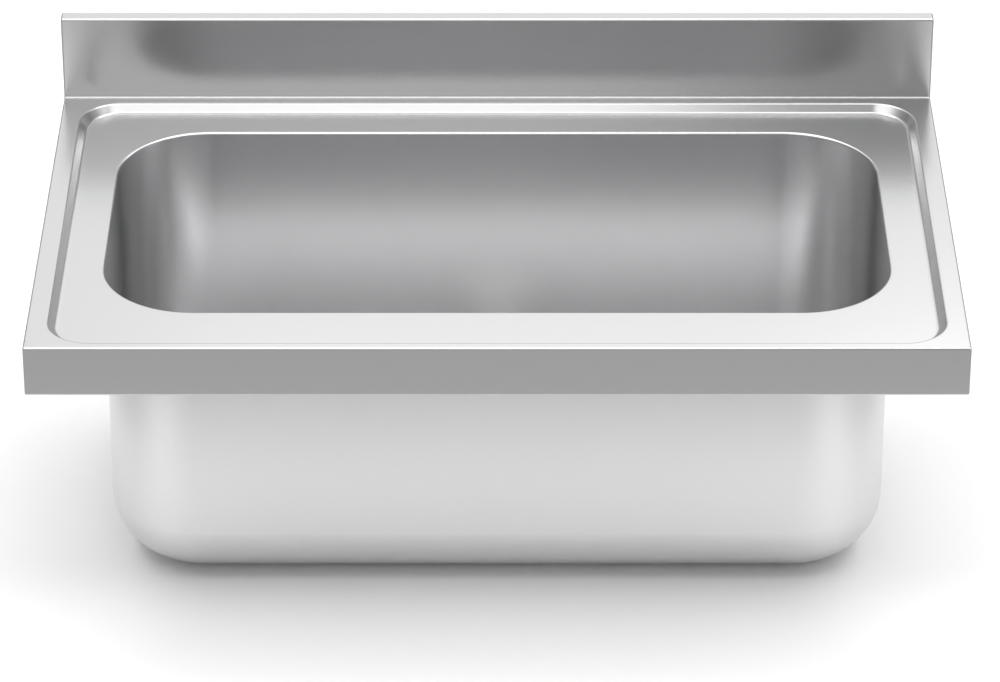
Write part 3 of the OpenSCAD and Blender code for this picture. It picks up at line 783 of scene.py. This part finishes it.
knob = {
    "groove": 4.6 * mm,          # radius of the finger groove
    "crown": 1.8 * mm,
    "edge": 0.4 * mm,
    "bendSteps": 8,
    "count": 64,
}


def makeKnob():
    low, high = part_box("basket_knob")
    r = (high.x - low.x) / 2
    neck = r / 2
    outline = [(0, low.z), (neck, low.z), (neck, low.z + neck), (r, low.z + neck), (r, high.z), (0, high.z)]
    radii = [0, knob["edge"], knob["groove"], knob["edge"], knob["crown"], 0]
    shell = turnedShell(outline, radii, steps=knob["bendSteps"], count=knob["count"])
    return closedPiece("basket_knob_turned", [shell])


seal = {
    "inner": 22 * mm,
    "gap": 0.1 * mm,             # keeps its lip off the basket's wall
    "radii": (0.5, 0.8, 0.6, 0.3, 0.5, 0),  # of its edges, in millimetres
}


def makeSeal():
    low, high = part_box("stopper_seal")
    basketLow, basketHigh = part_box("basket")
    outer, inner, base = (high.x - low.x) / 2, seal["inner"], basket["foot"] + seal["gap"]
    lean = (basket["top"] - basket["foot"]) / (basketHigh.z - basketLow.z)
    lip = base + lean * (high.z - basketLow.z)
    outline = [(inner, low.z), (outer, low.z), (outer, high.z), (lip, high.z), (base, basketLow.z),
               (inner, basketLow.z)]
    return closedPiece("stopper_seal_turned", [turnedShell(outline, np.array(seal["radii"]) * mm)])


gasket = {
    "clearance": 1 * mm,         # between its bore and the hole in the bowl
    "bulge": 0.45,               # radius of its edges, as a share of its thickness
}


def makeGasket(node):
    # a soft washer whose edges bulge a little
    low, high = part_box(node)
    outer, inner = (high.x - low.x) / 2, waste["hole"] + gasket["clearance"]
    outline = [(inner, low.z), (outer, low.z), (outer, high.z), (inner, high.z)]
    return closedPiece(node + "_turned", [turnedShell(outline, (high.z - low.z) * gasket["bulge"])])


body = {
    "flange": 57 * mm,
    "flangeThick": 4 * mm,
    "bore": 43.5 * mm,
    "wall": 3 * mm,
    "webDrop": 36.6 * mm,        # from the flange's top to the foot of the straight bore
    "cone": 8 * mm,
    "outlet": 23.9 * mm,
    "outletWall": 4.4 * mm,
    "radii": (0, 2, 5, 2, 0.8, 0.5, 0.5, 4, 4, 0.5, 0.8, 0),  # of its edges, in millimetres
    "threadDepth": 1.4 * mm,
    "threadPitch": 2.309 * mm,
    "threadEnds": (1.2 * mm, 2 * mm),   # plain parts below and above the thread
    "web": 9 * mm,
    "boss": 7 * mm,
    "bossRadii": (0, 1, 0.6, 0.3),      # likewise
    "screw": 3.05 * mm,
    "rib": (3 * mm, 5.4 * mm),
    "ribRadius": 0.6 * mm,
    "ribRoot": 1 * mm,           # by which it reaches into the boss
    "ribs": 3,
}


def makeWasteBody():
    low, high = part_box("waste_body")
    wall, bore, outlet, screw, boss = (body[k] for k in ("wall", "bore", "outlet", "screw", "boss"))
    zFlange = high.z - body["flangeThick"]
    zWeb = high.z - body["webDrop"]
    zCone = zWeb - body["cone"]
    zShoulder = zCone - wall
    outer, inner = bore + wall, outlet - body["outletWall"]
    threadLow, threadHigh = low.z + body["threadEnds"][0], zShoulder - body["threadEnds"][1]
    outline = [(outlet, threadHigh), (outlet, zShoulder), (outer, zWeb - wall / 2), (outer, zFlange),
               (body["flange"], zFlange), (body["flange"], high.z), (bore, high.z), (bore, zWeb),
               (inner, zCone), (inner, low.z), (outlet, low.z), (outlet, threadLow)]
    patches = [turnedShell(outline, np.array(body["radii"]) * mm, closed=False),
               threadShell(outlet, body["threadDepth"], body["threadPitch"], threadLow, threadHigh)]
    zTall = zWeb + body["web"]
    collar = [(screw, zWeb), (boss, zWeb), (boss, zTall), (screw, zTall)]
    patches.append(turnedShell(collar, np.array(body["bossRadii"]) * mm))
    half, tall = body["rib"][0] / 2, body["rib"][1]
    bar = [(-half, zWeb), (half, zWeb), (half, zWeb + tall), (-half, zWeb + tall)]
    for k in range(body["ribs"]):
        # each rib runs from inside the boss to the middle of the body's wall
        a = math.pi / 2 + 2 * math.pi * k / body["ribs"]
        way = (math.cos(a), math.sin(a))
        patches += barShell(bar, body["ribRadius"], boss - body["ribRoot"], bore + wall / 2, way)
    return closedPiece("waste_body_turned", patches)


pad = {
    "corner": 8 * mm,
    "cornerSteps": 8,
    "edge": 1 * mm,              # radius of its lower edge
    "edgeSteps": 4,
}


def makePad(node):
    # a rounded slab: its side, its rounded lower edge, and both faces drawn in to their middle
    low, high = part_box(node)
    corner, edge = pad["corner"], pad["edge"]
    centres = (low.x + corner, high.x - corner, low.y + corner, high.y - corner)
    middle = ((low.x + high.x) / 2,) * 2 + ((low.y + high.y) / 2,) * 2
    rows = [(middle, 0, high.z, 0, 1), (centres, corner, high.z, 0, 1), (centres, corner, high.z, 1, 0)]
    p, n = arc((-edge, low.z + edge), edge, 90, 180, pad["edgeSteps"])
    rows += [(centres, corner + u, z, a, b) for (u, z), (a, b) in zip(p, n)]
    rows += [(middle, 0, low.z, 0, -1)]
    points, normals, quads = ringSurface(rows, pad["cornerSteps"])
    return closedPiece(node + "_slab", [(points, normals, quads[:, ::-1])])


fittings = (
    (makeDish(), "sink_top", "steel_bright", "strainer_dish"),
    (makeGasket("rim_gasket"), "sink_top", "rubber_black", "rim_gasket"),
    (makeGasket("under_gasket"), "sink_top", "rubber_black", "under_gasket"),
    (makeWasteBody(), "sink_top", "plastic_white", "waste_body"),
    (makePad("sound_pad_left"), "sink_top", "sound_pad", "sound_pad_left"),
    (makePad("sound_pad_right"), "sink_top", "sound_pad", "sound_pad_right"),
    (makeBasket(), "basket", "steel_bright", "basket"),
    (makeStem(), "basket", "steel_bright", "basket_stem"),
    (makeKnob(), "basket", "rubber_black", "basket_knob"),
    (makeSeal(), "basket", "rubber_black", "stopper_seal"),
)
for piece, bodyName, slotName, node in fittings:
    place(dress(piece, slotMaterials[slotName]), bodyName, slotName, node)
print("waste and basket made")

# the frame's own pieces that stay
for row in frame["record"]["subparts"]:
    node = frame["nodes"][row["node"]]
    if not node.hide_render:
        dress(node, slotMaterials[row["material_slot"]])
print("other pieces dressed")


# Floor

# the floor's colour holds painted shade: white round the sink where the camera sees it, grey further out, so
# that the steel mirrors a darker floor
floor = {
    "half": 150.0,               # half size of the floor
    "hole": (0.35, 0.13),        # half sizes of its opening under the bowl's flat bottom
    "pool": (0.57, 0.84),        # half width and half depth of the white round the sink, outside which the floor is painted grey as shade
    "poolMiddle": 0.45,          # its middle's depth
    "fade": 0.4,                 # over which it turns to the outer colour, the painted shade
    "near": 0.97,                # colours inside the pool and beyond it; the grey beyond is painted shade, which the steel mirrors as a darker floor
    "far": 0.34,
    "corners": 48,               # points along each of its two edges
    "roughness": 0.9,
}


def floorPaint(height):
    material, nodes, links, shader = nodeMaterial("floor_painted_shade")
    # the way out of the pool: the length of (|x| - half width, |y - middle| - half depth), each at least 0;
    # over it the colour fades from white to the grey painted shade
    spot = nodes.new("ShaderNodeTexCoord")
    shift, mirror, inset, clip, out = [nodes.new("ShaderNodeVectorMath") for k in range(5)]
    for node, operation in ((shift, "SUBTRACT"), (mirror, "ABSOLUTE"), (inset, "SUBTRACT"), (clip, "MAXIMUM"),
                            (out, "LENGTH")):
        node.operation = operation
    shift.inputs[1].default_value = (0, floor["poolMiddle"], height)
    inset.inputs[1].default_value = (*floor["pool"], 0)
    fade = nodes.new("ShaderNodeMapRange")
    fade.interpolation_type = "SMOOTHSTEP"
    fade.inputs["From Max"].default_value = floor["fade"]
    fade.inputs["To Min"].default_value = floor["near"]
    fade.inputs["To Max"].default_value = floor["far"]
    links.new(spot.outputs["Object"], shift.inputs[0])
    for before, after in ((shift, mirror), (mirror, inset), (inset, clip), (clip, out)):
        links.new(before.outputs["Vector"], after.inputs[0])
    links.new(out.outputs["Value"], fade.inputs["Value"])
    links.new(fade.outputs["Result"], shader.inputs["Base Color"])
    shader.inputs["Roughness"].default_value = floor["roughness"]
    shader.inputs["Specular IOR Level"].default_value = 0.0
    # clear only to a camera that looks up from below, so that the underside can be seen
    under = nodes.new("ShaderNodeNewGeometry")
    seen = nodes.new("ShaderNodeLightPath")
    both = nodes.new("ShaderNodeMath")
    both.operation = "MULTIPLY"
    clear = nodes.new("ShaderNodeBsdfTransparent")
    choose = nodes.new("ShaderNodeMixShader")
    links.new(under.outputs["Backfacing"], both.inputs[0])
    links.new(seen.outputs["Is Camera Ray"], both.inputs[1])
    links.new(both.outputs["Value"], choose.inputs["Fac"])
    links.new(shader.outputs["BSDF"], choose.inputs[1])
    links.new(clear.outputs["BSDF"], choose.inputs[2])
    links.new(choose.outputs["Shader"], nodes["Material Output"].inputs["Surface"])
    return material


def makeFloor():
    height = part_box("sound_pad_left")[0].z
    # the square about the origin is reached at 1 / max(|cos t|, |sin t|), and stretched to two half sizes
    t = (np.arange(floor["corners"]) + 0.5) * 2 * np.pi / floor["corners"]
    out = levelWays(t) / np.maximum(np.abs(np.cos(t)), np.abs(np.sin(t)))[:, None]
    hole = out * (*floor["hole"], 0) + (0, drainCentre[1], height)
    edge = out * floor["half"] + upward * height
    quads = gridQuads(2, len(t), closed=True, flip=True)
    normals = np.broadcast_to(upward, (len(quads), 4, 3))
    piece = makeObject("floor", np.concatenate([hole, edge]), [(quads, normals, 0)])
    dress(piece, floorPaint(height))


makeFloor()


# Light and camera

# the levels of the sky and the soft boxes started from a least-squares fit to the photo's brightness, and
# were rounded and partly changed
world = {
    "least": 0.33,               # level all round
    "ring": 3.85,                # added high up all round
    "ringFoot": (0.81, 0.885),   # heights on the unit sphere between which the ring sets in
    "ringTop": (0.93, 0.975),    # and between which the sky is dimmed again
    "topShare": 0.15,            # share left of the light straight overhead
    "high": 1.0,                 # added under the ring, but not in front
    "highFoot": (0.62, 0.72),    # heights between which it sets in
    "front": (0.33, 0.52),       # ways forward between which the front begins
    "frontShare": 0.25,          # share left of the light high up in front
    "glow": 0.78,                # added lower down, behind and a little to the right
    "glowFoot": (0.24, 0.38),
    "glowSide": (0.45, 0.65),    # ways along its axis between which it sets in
    "glowAxis": (0.3, 0.95, 0),
    "below": 1.0,                # under the floor, seen only from below
}

# soft boxes: middle, what they face, width and height, and the level of their face
softBoxes = {
    "near": ((-0.3, -0.585, 1.25), (-0.3, -0.585, 0), (1.2, 0.33), 1.5),
    "far": ((-0.3, -1.125, 1.25), (-0.3, -1.125, 0), (1.2, 0.75), 0.6),
    "rear": ((0.0, 1.25, 1.25), (0.0, 1.25, 0), (1.0, 0.7), 0.5),
    "rearRight": ((0.9, 1.25, 1.25), (0.9, 1.25, 0), (0.8, 0.7), 1.1),
    "sideRear": ((1.5, 1.1, 1.0), (0, 0, 0), (0.8, 0.5), 0.6),
    "frontLeft": ((-1.25, -1.5, 0.72), (0, 0, 0), (0.6, 1.05), 0.35),
    "frontRight": ((1.25, -1.5, 0.72), (0, 0, 0), (0.6, 1.05), 0.6),
    "front": ((-0.2, -1.6, 1.0), (-0.2, 0, 0), (1.2, 0.5), 0.8),
    "right": ((1.5, 0.35, 0.02), (0, 0.35, -0.05), (0.7, 0.42), 0.7),
    "rightHigh": ((1.5, -0.4, 0.45), (0, -0.4, 0.1), (0.7, 0.5), 0.7),
}


def makeWorld():
    # the level by direction is the least plus the greatest of ring, high and glow, each a product of smooth
    # steps along an axis; it is multiplied by the front's share high up in front, and by the top's share
    # straight overhead, where steel seen from above would turn white
    sky = bpy.data.worlds.new("studio")
    bpy.context.scene.world = sky
    sky.use_nodes = True
    nodes, links = sky.node_tree.nodes, sky.node_tree.links
    way = nodes.new("ShaderNodeTexCoord").outputs["Generated"]

    def along(axis):
        lean = nodes.new("ShaderNodeVectorMath")
        lean.operation = "DOT_PRODUCT"
        lean.inputs[1].default_value = axis
        links.new(way, lean.inputs[0])
        return lean.outputs["Value"]

    def step(value, edges, start, end):
        ramp = nodes.new("ShaderNodeMapRange")
        ramp.interpolation_type = "SMOOTHSTEP"
        for socket, number in zip(("From Min", "From Max", "To Min", "To Max"), (*edges, start, end)):
            ramp.inputs[socket].default_value = number
        links.new(value, ramp.inputs["Value"])
        return ramp.outputs["Result"]

    def combined(operation, *values):
        both = nodes.new("ShaderNodeMath")
        both.operation = operation
        for socket, value in zip(both.inputs, values):
            if isinstance(value, float):
                socket.default_value = value
            else:
                links.new(value, socket)
        return both.outputs["Value"]

    height = along((0, 0, 1))
    forward = along((0, -1, 0))
    ring = step(height, world["ringFoot"], 0, world["ring"])
    high = combined("MULTIPLY", step(height, world["highFoot"], 0, world["high"]),
                    step(forward, world["front"], 1, 0))
    glow = combined("MULTIPLY", step(height, world["glowFoot"], 0, world["glow"]),
                    step(along(world["glowAxis"]), world["glowSide"], 0, 1))
    level = combined("ADD", combined("MAXIMUM", ring, combined("MAXIMUM", high, glow)), world["least"])
    lost = combined("MULTIPLY", step(height, world["highFoot"], 0, 1 - world["frontShare"]),
                    step(forward, world["front"], 0, 1))
    level = combined("MULTIPLY", level, combined("SUBTRACT", 1.0, lost))
    level = combined("MULTIPLY", level, step(height, world["ringTop"], 1, world["topShare"]))
    under = combined("MULTIPLY", combined("LESS_THAN", height, 0.0), world["below"])
    links.new(combined("MAXIMUM", level, under), nodes["Background"].inputs["Strength"])
    nodes["Background"].inputs["Color"].default_value = (1, 1, 1, 1)


def makeSoftBoxes():
    # a face of level L sends out L pi times its area
    for name, (middle, aim, (width, height), level) in softBoxes.items():
        lamp = bpy.data.lights.new("softBox_" + name, "AREA")
        lamp.shape = "RECTANGLE"
        lamp.size, lamp.size_y = width, height
        lamp.energy = level * math.pi * width * height
        box = bpy.data.objects.new("softBox_" + name, lamp)
        box.location = middle
        box.rotation_euler = (Vector(aim) - Vector(middle)).to_track_quat("-Z", "Y").to_euler()
        box.visible_camera = False
        bpy.context.scene.collection.objects.link(box)


makeWorld()
makeSoftBoxes()

camera = {
    # place, pitch and lens are a least-squares fit to the photo's edges, with the real size given
    "place": (0.00313, -4.78243, 2.64523),
    "pitch": 60.0935,            # degrees from straight down
    "sensor": 36,                # its width and the focal length, in millimetres
    "lens": 177.05,
    "clipEnd": 30,
}


def makeCamera():
    data = bpy.data.cameras.new("camera")
    data.sensor_width = camera["sensor"]
    data.lens = camera["lens"]
    data.clip_end = camera["clipEnd"]
    eye = bpy.data.objects.new("camera", data)
    eye.location = camera["place"]
    eye.rotation_euler = (math.radians(camera["pitch"]), 0, 0)
    bpy.context.scene.collection.objects.link(eye)
    bpy.context.scene.camera = eye


makeCamera()
bpy.context.scene.view_settings.view_transform = "Standard"
print("stage, light and camera made")
